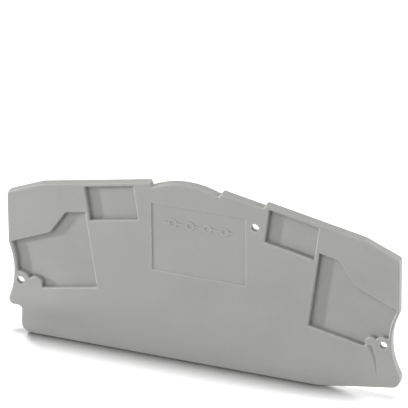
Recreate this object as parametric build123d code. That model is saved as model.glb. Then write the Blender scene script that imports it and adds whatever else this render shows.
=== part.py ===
from build123d import *
import math
import os

# Terminal block end cover: one moulded plate that closes the open side of a
# rail-mounted block.  Millimetres.  X runs along the plate, Z up, the front face
# looks towards -Y.  The origin is the middle of the plate, on its bottom edge.

# Plate
thickness = 2.1
edge_round = 0.35             # rounding of the front face's edges
end_x = 50.17                 # the two upright ends, either side of the middle

# Roof: two falling lines that would meet above the middle, then a steeper shoulder
roof_peak_height = 50.67
roof_slope = 11.35
shoulder_run = 8.87           # from the shoulder's start out to the upright end
shoulder_slope = 23.3
shoulder_round = 2.5
end_top_round = 0.8

# Large pockets at the ends
pocket_floor = 0.8            # wall left behind every pocket
pocket_corner_round = 0.3
pocket_lean = 7.8             # lean of the pockets' upright sides
tunnel_inner_inset = 20.17    # inner corner, from the plate's end
tunnel_inner_drop = 7.97      # inner corner, below the roof
tunnel_top_width = 4.9
tunnel_knee_inset = 11.07
tunnel_knee_drop = 13.54
tunnel_foot_rise = 1.8        # inner foot, above the lower peg holes
tunnel_top_round = 1.3
tunnel_knee_round = 1.6
left_rim = 0.95               # wall left between a large pocket and the plate's end
right_rim = 0.75

# Small pockets below the roof, with sharp corners
marker_gap = 0.1              # from a large pocket's inner corner to a small pocket
marker_width = 12.5
marker_height = 8.95
marker_roof_wall = 1.02

# Raised bow in the middle of the roof, with the step that it starts from
bow_left_gap = 4.65           # from the left-hand small pocket
bow_right_x = 4.5
bow_top_x = -3.4
bow_drop = 1.66               # from where the roof lines would meet to the bow's top
bow_radius = 19.7
left_step_lean = 0.35         # how far the step's top is set back from its foot

# Lowered stretch between the bow and the right-hand roof
lowered_by = 1.15
lowered_start_gap = 0.9       # from the bow
lowered_end_gap = 1.6         # from the small pocket
right_step_lean = 0.75
step_round = 0.4              # rounding of the corners of the roof's steps

# Peg holes, each with a shallow round recess on the back; the lower two sit in collars
peg_hole_diameter = 2.0
peg_hole_depth = 1.35         # wall that a peg goes through
peg_recess_radius = 1.65
peg_recess_rim = 0.5          # least wall between a recess and the plate's end
lower_hole_height = 14.5
left_hole_inset = 2.97
right_hole_inset = 3.92
left_collar_radius = 2.5
right_collar_radius = 2.2
upper_hole_inset = 2.05       # from the end of the lowered stretch
upper_hole_drop = 6.13        # below the lowered stretch

# Round bump beside each collar
bump_inset = 6.87
bump_radius = 1.7

# Waists: the hollow parts of the two ends
nose_reach = 0.28             # how far the noses stand out past the upright ends
left_waist_top = 24.63
left_waist_depth = 1.27
left_waist_middle = 17.23
left_waist_foot = 9.33
right_waist_top = 23.83
right_waist_depth = 1.95
right_waist_middle = 15.63
right_waist_foot = 6.63
waist_round = 1.2             # rounding where an upright end turns into its waist

# Left foot: a hook above a straight side
hook_under_height = 7.23
foot_side_top_inset = 3.12
foot_side_bottom_inset = 2.62
hook_round = 1.2
hook_inner_round = 1.1
foot_round = 2.5

# Right foot: the bottom edge rises towards a round nose
rise_run = 21.15
rise_height = 3.35
right_nose_round = 2.3

# Shallow field in the middle, with a plain feed-through sign in relief
field_left_gap = 0.1          # from the start of the bow
field_right_gap = 2.45        # from the middle of the upper peg hole
field_drop = 8.14             # below where the roof lines would meet
field_height = 18.3
field_depth = 0.22
field_edge_round = 0.18
sign_height = 0.12
sign_drop = 4.6               # below the field's top
sign_margin = 3.0             # least space between the sign and the field's sides
sign_tail = 2.2               # line beyond the middle of the last ring
ring_pitch = 4.4
ring_radius = 1.15
sign_line = 0.45

# Crease that runs down from the right-hand bump and dies out
crease_radius = 19.7
crease_reach = 1.35           # furthest point, outwards from the bump's middle
crease_top_drop = 0.5         # where it starts, below the bump's middle
crease_middle_drop = 7.9      # middle of its arc, below the bump's middle
crease_foot_drop = 9.4        # where it dies out, below the bump's middle
crease_depth = 0.4
crease_flank = 1.1            # width of its sloping inner side
crease_width = 0.3            # width of its steep outer side
crease_clear = 1.0            # height of the cutter above the face

NODE = "end_cover"

FRONT = Plane.XZ.offset(thickness / 2)
BACK = Plane.XZ.offset(-thickness / 2)

pocket_depth = thickness - pocket_floor
roof_fall = math.tan(math.radians(roof_slope))
shoulder_fall = math.tan(math.radians(shoulder_slope))
pocket_set_back = math.tan(math.radians(pocket_lean))

nose_x = end_x + nose_reach
shoulder_x = end_x - shoulder_run
bump_x = end_x - bump_inset
tunnel_inner_x = end_x - tunnel_inner_inset
marker_outer_x = tunnel_inner_x - marker_gap
marker_inner_x = marker_outer_x - marker_width
bow_left_x = bow_left_gap - marker_inner_x
lowered_start_x = bow_right_x + lowered_start_gap
lowered_end_x = marker_inner_x - lowered_end_gap


def roof(x):
    """Height of the roof line over x."""
    return roof_peak_height - abs(x) * roof_fall


def bow(x):
    """Height of the round bow over x."""
    reach = x - bow_top_x
    return roof_peak_height - bow_drop - bow_radius + math.sqrt(bow_radius ** 2 - reach ** 2)


def soften(sketch, corner, radius):
    """Round the corner of a flat shape that lies nearest to a point."""
    nearest = sketch.vertices().sort_by_distance((corner[0], corner[1], 0))[0]
    return fillet(nearest, radius)


def round_corners(sketch, radius):
    """Round every outward corner of a flat shape, by shrinking it and growing it back."""
    return offset(offset(sketch, -radius), radius)


def plate_outline():
    """Outline of the whole plate, drawn from the left foot clockwise."""
    foot_left = (foot_side_bottom_inset - end_x, 0)
    foot_top = (foot_side_top_inset - end_x, hook_under_height)
    hook_low = (-nose_x, hook_under_height)
    hook_high = (-nose_x, left_waist_foot)
    left_hollow = (left_waist_depth - end_x, left_waist_middle)
    left_waist = (-end_x, left_waist_top)
    end_top = roof(shoulder_x) - shoulder_run * shoulder_fall
    left_top = (-end_x, end_top)
    left_shoulder = (-shoulder_x, roof(shoulder_x))
    step_top_x = bow_left_x - left_step_lean
    step_top = (step_top_x, roof(step_top_x))
    bow_start = (bow_left_x, bow(bow_left_x))
    bow_end = (bow_right_x, bow(bow_right_x))
    lowered_start = (lowered_start_x, roof(lowered_start_x) - lowered_by)
    lowered_end = (lowered_end_x, roof(lowered_end_x) - lowered_by)
    right_step_x = lowered_end_x + right_step_lean
    right_step = (right_step_x, roof(right_step_x))
    right_shoulder = (shoulder_x, roof(shoulder_x))
    right_top = (end_x, end_top)
    right_waist = (end_x, right_waist_top)
    right_hollow = (end_x - right_waist_depth, right_waist_middle)
    nose_high = (nose_x, right_waist_foot)
    nose_low = (nose_x, rise_height)
    rise_start = (nose_x - rise_run, 0)

    edges = Polyline(foot_left, foot_top, hook_low, hook_high)
    edges += ThreePointArc(hook_high, left_hollow, left_waist)
    edges += Polyline(left_waist, left_top, left_shoulder, step_top, bow_start)
    edges += ThreePointArc(bow_start, (bow_top_x, bow(bow_top_x)), bow_end)
    edges += Polyline(bow_end, lowered_start, lowered_end, right_step, right_shoulder,
                      right_top, right_waist)
    edges += ThreePointArc(right_waist, right_hollow, nose_high)
    edges += Polyline(nose_high, nose_low, rise_start, foot_left)
    outline = make_face(edges)

    for corner, radius in (
        (foot_left, foot_round),
        (foot_top, hook_inner_round),
        (hook_low, hook_round),
        (left_waist, waist_round),
        (left_top, end_top_round),
        (left_shoulder, shoulder_round),
        (right_shoulder, shoulder_round),
        (right_top, end_top_round),
        (right_waist, waist_round),
        (nose_low, right_nose_round),
        (bow_start, step_round),
        (bow_end, step_round),
        (lowered_start, step_round),
        (lowered_end, step_round),
        (right_step, step_round),
    ):
        outline = soften(outline, corner, radius)
    return outline


def marker_pocket():
    """Small pocket below the right-hand roof."""
    set_back = marker_height * pocket_set_back
    inner_top = roof(marker_inner_x) - marker_roof_wall
    outer_top = roof(marker_outer_x) - marker_roof_wall
    return make_face(Polyline(
        (marker_inner_x, inner_top),
        (marker_outer_x, outer_top),
        (marker_outer_x - set_back, outer_top - marker_height),
        (marker_inner_x - set_back, inner_top - marker_height),
        close=True,
    ))


def tunnel_pocket(outline, rim, hole_inset, collar_radius):
    """Large pocket at the right-hand end, kept clear of the rim, collar and bump.

    Its corners are sharp at the inner end and rounded beyond the knee.
    """
    inner_top = roof(tunnel_inner_x) - tunnel_inner_drop
    foot_height = lower_hole_height + tunnel_foot_rise
    foot_x = tunnel_inner_x - (inner_top - foot_height) * pocket_set_back
    top_outer = (tunnel_inner_x + tunnel_top_width, inner_top - tunnel_top_width * roof_fall)
    knee_x = end_x - tunnel_knee_inset
    knee = (knee_x, roof(knee_x) - tunnel_knee_drop)
    far_x = nose_x + rim
    far_top = (far_x, knee[1] - (far_x - knee_x) * shoulder_fall)
    far_foot = (far_x, foot_height - (far_x - foot_x) * roof_fall)
    pocket = make_face(Polyline(
        (foot_x, foot_height),
        (tunnel_inner_x, inner_top),
        top_outer,
        knee,
        far_top,
        far_foot,
        close=True,
    ))
    pocket = soften(pocket, top_outer, tunnel_top_round)
    pocket = soften(pocket, knee, tunnel_knee_round)
    pocket &= offset(outline, -rim)

    below_bump = Pos(bump_x - bump_radius, lower_hole_height) * Rectangle(
        end_x, lower_hole_height, align=(Align.MIN, Align.MAX))
    bump = Pos(bump_x, lower_hole_height) * Circle(bump_radius)
    collar = Pos(end_x - hole_inset, lower_hole_height) * Circle(collar_radius)
    pocket -= below_bump + bump + collar
    inner_end = Pos(knee_x, 0) * Rectangle(end_x, 2 * end_x, align=(Align.MAX, Align.CENTER))
    return round_corners(pocket, pocket_corner_round) + (pocket & inner_end)


def feed_through_sign(room):
    """Rings on one straight line, the usual sign for a feed-through block."""
    pitches = int((room - 2 * (sign_margin + sign_tail)) / ring_pitch)
    length = pitches * ring_pitch
    sign = Rectangle(length + 2 * sign_tail, sign_line)
    places = [Pos(k * ring_pitch - length / 2, 0) for k in range(pitches + 1)]
    for place in places:
        sign += place * Circle(ring_radius)
    for place in places:
        sign -= place * Circle(ring_radius - sign_line)
    return sign


def crease_cutter():
    """Ring with a three-cornered section, tipped so that its cut dies out downwards."""
    section = make_face(Polyline(
        (crease_radius - crease_flank, crease_clear),
        (crease_radius - crease_flank, 0),
        (crease_radius, -crease_depth),
        (crease_radius + crease_width, 0),
        (crease_radius + crease_width, crease_clear),
        close=True,
    ))
    ring = revolve(Plane.XZ * section, Axis.Z)
    top = crease_middle_drop - crease_top_drop
    foot = crease_middle_drop - crease_foot_drop
    tip = math.degrees(math.atan2(crease_depth, top - foot))
    rise = crease_depth * top / (top - foot)
    ring = Pos(0, 0, rise) * Rot(-tip, 0, 0) * ring
    window = Pos(crease_radius, (top + foot) / 2) * Box(crease_radius, top - foot, 2 * crease_clear)
    middle = (bump_x + crease_reach - crease_radius, lower_hole_height - crease_middle_drop)
    return FRONT * Pos(*middle) * (ring & window)


outline = plate_outline()
plate = extrude(BACK * outline, amount=thickness)

left_outline = mirror(outline, about=Plane.YZ)
pockets = [
    marker_pocket(),
    mirror(marker_pocket(), about=Plane.YZ),
    tunnel_pocket(outline, right_rim, right_hole_inset, right_collar_radius),
    mirror(tunnel_pocket(left_outline, left_rim, left_hole_inset, left_collar_radius), about=Plane.YZ),
]
for pocket in pockets:
    plate -= extrude(FRONT * pocket, amount=-pocket_depth)

face_edges = plate.faces().sort_by(Axis.Y)[0].edges()
plate = fillet(face_edges, edge_round)

upper_hole_x = lowered_end_x - upper_hole_inset
upper_hole_height = roof(upper_hole_x) - lowered_by - upper_hole_drop
recess_room = offset(outline, -peg_recess_rim)
for centre in (
    (left_hole_inset - end_x, lower_hole_height),
    (end_x - right_hole_inset, lower_hole_height),
    (upper_hole_x, upper_hole_height),
):
    hole = BACK * Pos(*centre) * Circle(peg_hole_diameter / 2)
    plate -= extrude(hole, amount=thickness)
    recess = Pos(*centre) * Circle(peg_recess_radius) & recess_room
    plate -= extrude(BACK * recess, amount=thickness - peg_hole_depth)

field_left = bow_left_x + field_left_gap
field_right = upper_hole_x - field_right_gap
field_middle = (field_left + field_right) / 2
field_top = roof_peak_height - field_drop
field_width = field_right - field_left
field = Pos(field_middle, field_top) * Rectangle(
    field_width, field_height, align=(Align.CENTER, Align.MAX))
plate -= extrude(FRONT * field, amount=-field_depth)
field_edges = [
    edge for edge in plate.faces().sort_by(Axis.Y)[0].edges()
    if field_left - field_edge_round < edge.center().X < field_right + field_edge_round
    and field_top - field_height - field_edge_round < edge.center().Z < field_top + field_edge_round
]
plate = fillet(field_edges, field_edge_round)
sign_floor = Plane.XZ.offset(thickness / 2 - field_depth)
sign = Pos(field_middle, field_top - sign_drop) * feed_through_sign(field_width)
plate += extrude(sign_floor * sign, amount=sign_height)

plate -= crease_cutter()

end_cover = plate.solids()[0]
end_cover.label = NODE

os.makedirs("parts", exist_ok=True)
export_step(end_cover, f"parts/{NODE}.step")
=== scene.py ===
import math

import bpy
from mathutils import Matrix, Vector

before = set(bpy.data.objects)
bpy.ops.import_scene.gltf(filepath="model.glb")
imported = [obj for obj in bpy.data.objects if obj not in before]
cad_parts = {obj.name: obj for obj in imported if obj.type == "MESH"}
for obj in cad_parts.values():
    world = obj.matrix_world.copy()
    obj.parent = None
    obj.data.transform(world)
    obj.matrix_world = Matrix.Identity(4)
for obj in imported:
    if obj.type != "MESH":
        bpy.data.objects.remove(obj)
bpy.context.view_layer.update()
scene = bpy.context.scene
scene.view_settings.view_transform = "Standard"


# The end cover: one flat plate, injection-moulded in grey polyamide, with nothing fixed to it.
# Its shape is the CAD node's. The mould leaves a fine eroded grain, the cooling plastic slight
# waves and changes of tone. A painted highlight pales the outer edges, and painted shade darkens
# the inner corners.
COVER_GREY_DEEP = (0.374, 0.377, 0.360, 1.0)
COVER_GREY = (0.390, 0.392, 0.376, 1.0)
COVER_GREY_PALE = (0.406, 0.408, 0.393, 1.0)
GREY_PLACES = (0.36, 0.5, 0.64)  # where the three greys stand in the noise of the tone
CLOUDS_PER_METRE = 70            # wide changes of tone, and fine specks
CLOUD_SHARE = 0.6
SPECKS_PER_METRE = 2600
SPECK_SHARE = 0.4
EDGE_REACH = 0.0006              # metres over which an outer edge gets a painted highlight
EDGE_PAINTED_HIGHLIGHT = 0.55
CORNER_REACH = 0.0025            # metres over which an inner corner gets painted shade
CORNER_PAINTED_SHADE = 0.22
CORNER_SAMPLES = 8

COVER_IOR = 1.5
COVER_SHINE = 0.4
COVER_ROUGHNESS = (0.38, 0.50)
GLOSS_PATCHES_PER_METRE = 900
GLOSS_NOISE = (0.3, 0.7)         # the part of the noise that the roughness follows

RELIEF_UNIT = 0.001              # heights of the relief are in millimetres
RELIEF = (                       # number in a metre, detail, roughness and height
    (5200, 3, 0.6, 0.010),       # eroded grain
    (1500, 2, 0.5, 0.012),       # pebbles under the grain
    (45, 1, 0.5, 0.10),          # waves of the cooled plate
)
HEEL_SWELL_HEIGHT = 0.95         # the soft swell over the heel, at the lower left
HEEL_SWELL_MIDDLE = (-0.042, -0.00105, 0.0090)
HEEL_SWELL_REACH = (0.0085, 0.02, 0.0028)


def grey_polyamide():
    """Moulded polyamide: even grey, satin, finely grained, with painted highlights on its outer
    edges and painted shade in its inner corners.
    """
    material = bpy.data.materials.new("grey_polyamide")
    material.use_nodes = True
    nodes = material.node_tree.nodes
    links = material.node_tree.links
    shader = nodes["Principled BSDF"]
    shader.inputs["IOR"].default_value = COVER_IOR
    shader.inputs["Specular IOR Level"].default_value = COVER_SHINE
    place = nodes.new("ShaderNodeTexCoord").outputs["Object"]

    def noise(scale, detail, roughness=0.5):
        node = nodes.new("ShaderNodeTexNoise")
        node.inputs["Scale"].default_value = scale
        node.inputs["Detail"].default_value = detail
        node.inputs["Roughness"].default_value = roughness
        links.new(place, node.inputs["Vector"])
        return node.outputs["Fac"]

    def calculate(operation, *values):
        node = nodes.new("ShaderNodeMath")
        node.operation = operation
        for socket, value in zip(node.inputs, values):
            if isinstance(value, (int, float)):
                socket.default_value = value
            else:
                links.new(value, socket)
        return node.outputs["Value"]

    def nearness(reach, inside):
        """0 on open surface, towards 1 at an outer edge (inside) or an inner corner."""
        node = nodes.new("ShaderNodeAmbientOcclusion")
        node.inside = inside
        node.only_local = True
        node.samples = CORNER_SAMPLES
        node.inputs["Distance"].default_value = reach
        return calculate("SUBTRACT", 1.0, node.outputs["AO"])

    tone = calculate("ADD", calculate("MULTIPLY", noise(CLOUDS_PER_METRE, 2), CLOUD_SHARE),
                     calculate("MULTIPLY", noise(SPECKS_PER_METRE, 2), SPECK_SHARE))
    greys = nodes.new("ShaderNodeValToRGB")
    ramp = greys.color_ramp.elements
    ramp[0].position = GREY_PLACES[0]
    ramp[0].color = COVER_GREY_DEEP
    ramp[1].position = GREY_PLACES[2]
    ramp[1].color = COVER_GREY_PALE
    ramp.new(GREY_PLACES[1]).color = COVER_GREY
    links.new(tone, greys.inputs["Fac"])

    # painted highlight: outer edges made paler, where light catches their rounding
    painted_edge_highlight = calculate("MULTIPLY", nearness(EDGE_REACH, True), EDGE_PAINTED_HIGHLIGHT)
    # painted shade: inner corners and pocket walls made darker, where shade falls
    painted_corner_shade = calculate("MULTIPLY", nearness(CORNER_REACH, False), CORNER_PAINTED_SHADE)
    grey_with_painted_light = nodes.new("ShaderNodeVectorMath")
    grey_with_painted_light.operation = "SCALE"
    links.new(greys.outputs["Color"], grey_with_painted_light.inputs[0])
    links.new(calculate("ADD", 1.0, calculate("SUBTRACT", painted_edge_highlight, painted_corner_shade)),
              grey_with_painted_light.inputs["Scale"])
    links.new(grey_with_painted_light.outputs["Vector"], shader.inputs["Base Color"])

    gloss = nodes.new("ShaderNodeMapRange")
    for socket, value in zip(("From Min", "From Max", "To Min", "To Max"),
                             GLOSS_NOISE + COVER_ROUGHNESS):
        gloss.inputs[socket].default_value = value
    links.new(noise(GLOSS_PATCHES_PER_METRE, 3), gloss.inputs["Value"])
    links.new(gloss.outputs["Result"], shader.inputs["Roughness"])

    heel = nodes.new("ShaderNodeMapping")
    heel.vector_type = "TEXTURE"
    heel.inputs["Location"].default_value = HEEL_SWELL_MIDDLE
    heel.inputs["Scale"].default_value = HEEL_SWELL_REACH
    links.new(place, heel.inputs["Vector"])
    away = nodes.new("ShaderNodeVectorMath")
    away.operation = "DOT_PRODUCT"
    links.new(heel.outputs["Vector"], away.inputs[0])
    links.new(heel.outputs["Vector"], away.inputs[1])
    swell = calculate("EXPONENT", calculate("MULTIPLY", away.outputs["Value"], -0.5))

    relief = calculate("MULTIPLY", swell, HEEL_SWELL_HEIGHT)
    for number, detail, roughness, height in RELIEF:
        part = calculate("MULTIPLY", noise(number, detail, roughness), height)
        relief = calculate("ADD", relief, part)
    bump = nodes.new("ShaderNodeBump")
    bump.inputs["Strength"].default_value = 1.0
    bump.inputs["Distance"].default_value = RELIEF_UNIT
    links.new(relief, bump.inputs["Height"])
    links.new(bump.outputs["Normal"], shader.inputs["Normal"])
    return material


end_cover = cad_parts["end_cover"]
cover_finish = grey_polyamide()
for slot in end_cover.material_slots:
    slot.material = cover_finish


# The table that the cover stands on: a matt white sheet with the cover's soft shadow at its foot.
# Near the cover it takes light as any sheet does, and further out it turns plain white. To the
# light that it sends back to the cover it is a darker grey, so that the face keeps its tone.
TABLE_SIZE = 8.0
TABLE_GREY = (0.16, 0.16, 0.16, 1.0)
TABLE_SEEN_GREY = (0.50, 0.50, 0.50, 1.0)
TABLE_LIT_RADIUS = 0.16
TABLE_PLAIN_RADIUS = 0.40


def background_rays(tree):
    """1 for rays that see the white background: the camera's, transmitted and reflected ones."""
    path = tree.nodes.new("ShaderNodeLightPath")
    rays = path.outputs["Is Camera Ray"]
    for name in ("Is Transmission Ray", "Is Glossy Ray"):
        either = tree.nodes.new("ShaderNodeMath")
        either.operation = "MAXIMUM"
        tree.links.new(rays, either.inputs[0])
        tree.links.new(path.outputs[name], either.inputs[1])
        rays = either.outputs["Value"]
    return rays


def white_sheet():
    """Matt white that turns plain white away from the cover."""
    material = bpy.data.materials.new("white_sheet")
    material.use_nodes = True
    nodes = material.node_tree.nodes
    links = material.node_tree.links
    nodes.clear()
    output = nodes.new("ShaderNodeOutputMaterial")
    lighting = nodes.new("ShaderNodeBsdfDiffuse")
    lighting.inputs["Color"].default_value = TABLE_GREY
    seen = nodes.new("ShaderNodeBsdfDiffuse")
    seen.inputs["Color"].default_value = TABLE_SEEN_GREY
    plain = nodes.new("ShaderNodeEmission")
    plain.inputs["Strength"].default_value = 1.0

    place = nodes.new("ShaderNodeTexCoord")
    distance = nodes.new("ShaderNodeVectorMath")
    distance.operation = "LENGTH"
    links.new(place.outputs["Object"], distance.inputs[0])
    outwards = nodes.new("ShaderNodeMapRange")
    outwards.interpolation_type = "SMOOTHSTEP"
    outwards.inputs["From Min"].default_value = TABLE_LIT_RADIUS
    outwards.inputs["From Max"].default_value = TABLE_PLAIN_RADIUS
    links.new(distance.outputs["Value"], outwards.inputs["Value"])

    near_and_far = nodes.new("ShaderNodeMixShader")
    links.new(outwards.outputs["Result"], near_and_far.inputs["Fac"])
    links.new(seen.outputs["BSDF"], near_and_far.inputs[1])
    links.new(plain.outputs["Emission"], near_and_far.inputs[2])
    by_ray = nodes.new("ShaderNodeMixShader")
    links.new(background_rays(material.node_tree), by_ray.inputs["Fac"])
    links.new(lighting.outputs["BSDF"], by_ray.inputs[1])
    links.new(near_and_far.outputs["Shader"], by_ray.inputs[2])
    links.new(by_ray.outputs["Shader"], output.inputs["Surface"])
    return material


bpy.ops.object.select_all(action="DESELECT")
bpy.ops.mesh.primitive_plane_add(size=TABLE_SIZE, location=(0, 0, 0))
table = bpy.context.object
table.name = "table"
table.data.materials.append(white_sheet())


# Studio light on the cover: a wide box in front, one above it, and a small low one at the left
# that draws the shadows in the pockets. A strip stands at the right end, two high boxes behind
# light the roof edge, and a low one lights the back.
COVER_MIDDLE = (0.0, 0.0, 0.022)
COVER_LAMPS = (                  # name, place, width and height in metres, and power in watts
    ("front_box", (-0.557, -0.795, 0.264), (0.5, 0.5), 3.2),
    ("front_top_box", (-0.1, -0.60, 0.84), (0.3, 0.12), 1.8),
    ("left_box", (-1.03, -0.353, 0.186), (0.07, 0.07), 7.6),
    ("right_strip", (0.97, -0.11, 0.196), (0.15, 0.3), 2.7),
    ("back_right_box", (0.52, 0.383, 0.78), (0.3, 0.3), 3.9),
    ("back_left_box", (-0.492, 0.587, 0.665), (0.3, 0.3), 0.4),
    ("behind_box", (0.15, 0.95, 0.20), (0.5, 0.5), 1.6),
)


def soft_box(name, middle, aim, size, power, lit_piece):
    """Rectangular lamp that faces a point and lights one piece."""
    light = bpy.data.lights.new(name, "AREA")
    light.shape = "RECTANGLE"
    light.size, light.size_y = size
    light.energy = power
    lamp = bpy.data.objects.new(name, light)
    scene.collection.objects.link(lamp)
    lamp.location = middle
    facing = Vector(aim) - Vector(middle)
    lamp.rotation_euler = facing.to_track_quat("-Z", "Y").to_euler()
    lit = bpy.data.collections.new(name + "_lights")
    lit.objects.link(lit_piece)
    lamp.light_linking.receiver_collection = lit


for name, middle, size, power in COVER_LAMPS:
    soft_box(name, middle, COVER_MIDDLE, size, power, end_cover)


# The table has lamps of its own: a long one overhead, whose shadow lies close at the foot of the
# cover, and two low ones behind the cover that keep the table around it white.
TABLE_LAMPS = (                  # name, place, point that it faces, width and height, power
    ("table_top_box", (0.05, 0.080, 1.05), (0.05, 0.0, 0.0), (0.8, 0.15), 21.5),
    ("table_right_box", (0.95, 0.45, 0.22), (0.0, 0.0, 0.0), (0.6, 0.3), 34.0),
    ("table_left_box", (-0.60, 0.80, 0.26), (0.0, 0.0, 0.0), (0.5, 0.3), 44.0),
)

for name, middle, aim, size, power in TABLE_LAMPS:
    soft_box(name, middle, aim, size, power, table)


# The room around the table: white to the eye and in reflections, and dim as a source of light,
# so that the lamps keep their shadows.
ROOM_WHITE = (1.0, 1.0, 1.0, 1.0)
ROOM_LIGHT = 0.21
ROOM_SEEN = 1.0

room = bpy.data.worlds.new("white_room")
scene.world = room
room.use_nodes = True
room_glow = room.node_tree.nodes["Background"]
room_glow.inputs["Color"].default_value = ROOM_WHITE
room_strength = room.node_tree.nodes.new("ShaderNodeMapRange")
room_strength.inputs["To Min"].default_value = ROOM_LIGHT
room_strength.inputs["To Max"].default_value = ROOM_SEEN
room.node_tree.links.new(background_rays(room.node_tree), room_strength.inputs["Value"])
room.node_tree.links.new(room_strength.outputs["Result"], room_glow.inputs["Strength"])


# The camera: a long lens, above the cover and to its right, as in the photograph. Its target,
# turn and tilt were fitted to corners of the cover that mirror each other.
CAMERA_TARGET = Vector((0.000855, -0.00105, 0.044825))
CAMERA_DISTANCE = 1.3726
CAMERA_AZIMUTH = math.radians(20.71)
CAMERA_ELEVATION = math.radians(29.31)
CAMERA_ROLL = math.radians(-0.56)
CAMERA_SENSOR = 36.0             # millimetres, as is the lens
CAMERA_LENS = 507.15
CAMERA_NEAR = 0.01
CAMERA_FAR = 100.0

backwards = Vector((
    math.sin(CAMERA_AZIMUTH) * math.cos(CAMERA_ELEVATION),
    -math.cos(CAMERA_AZIMUTH) * math.cos(CAMERA_ELEVATION),
    math.sin(CAMERA_ELEVATION),
))
level = Vector((math.cos(CAMERA_AZIMUTH), math.sin(CAMERA_AZIMUTH), 0.0))
upright = backwards.cross(level)
across = math.cos(CAMERA_ROLL) * level + math.sin(CAMERA_ROLL) * upright
upwards = math.cos(CAMERA_ROLL) * upright - math.sin(CAMERA_ROLL) * level
lens = bpy.data.cameras.new("photo_camera")
lens.sensor_width = CAMERA_SENSOR
lens.lens = CAMERA_LENS
lens.clip_start = CAMERA_NEAR
lens.clip_end = CAMERA_FAR
camera = bpy.data.objects.new("photo_camera", lens)
scene.collection.objects.link(camera)
turn = Matrix((across, upwards, backwards)).transposed().to_4x4()
camera.matrix_world = Matrix.Translation(CAMERA_TARGET + CAMERA_DISTANCE * backwards) @ turn
scene.camera = camera
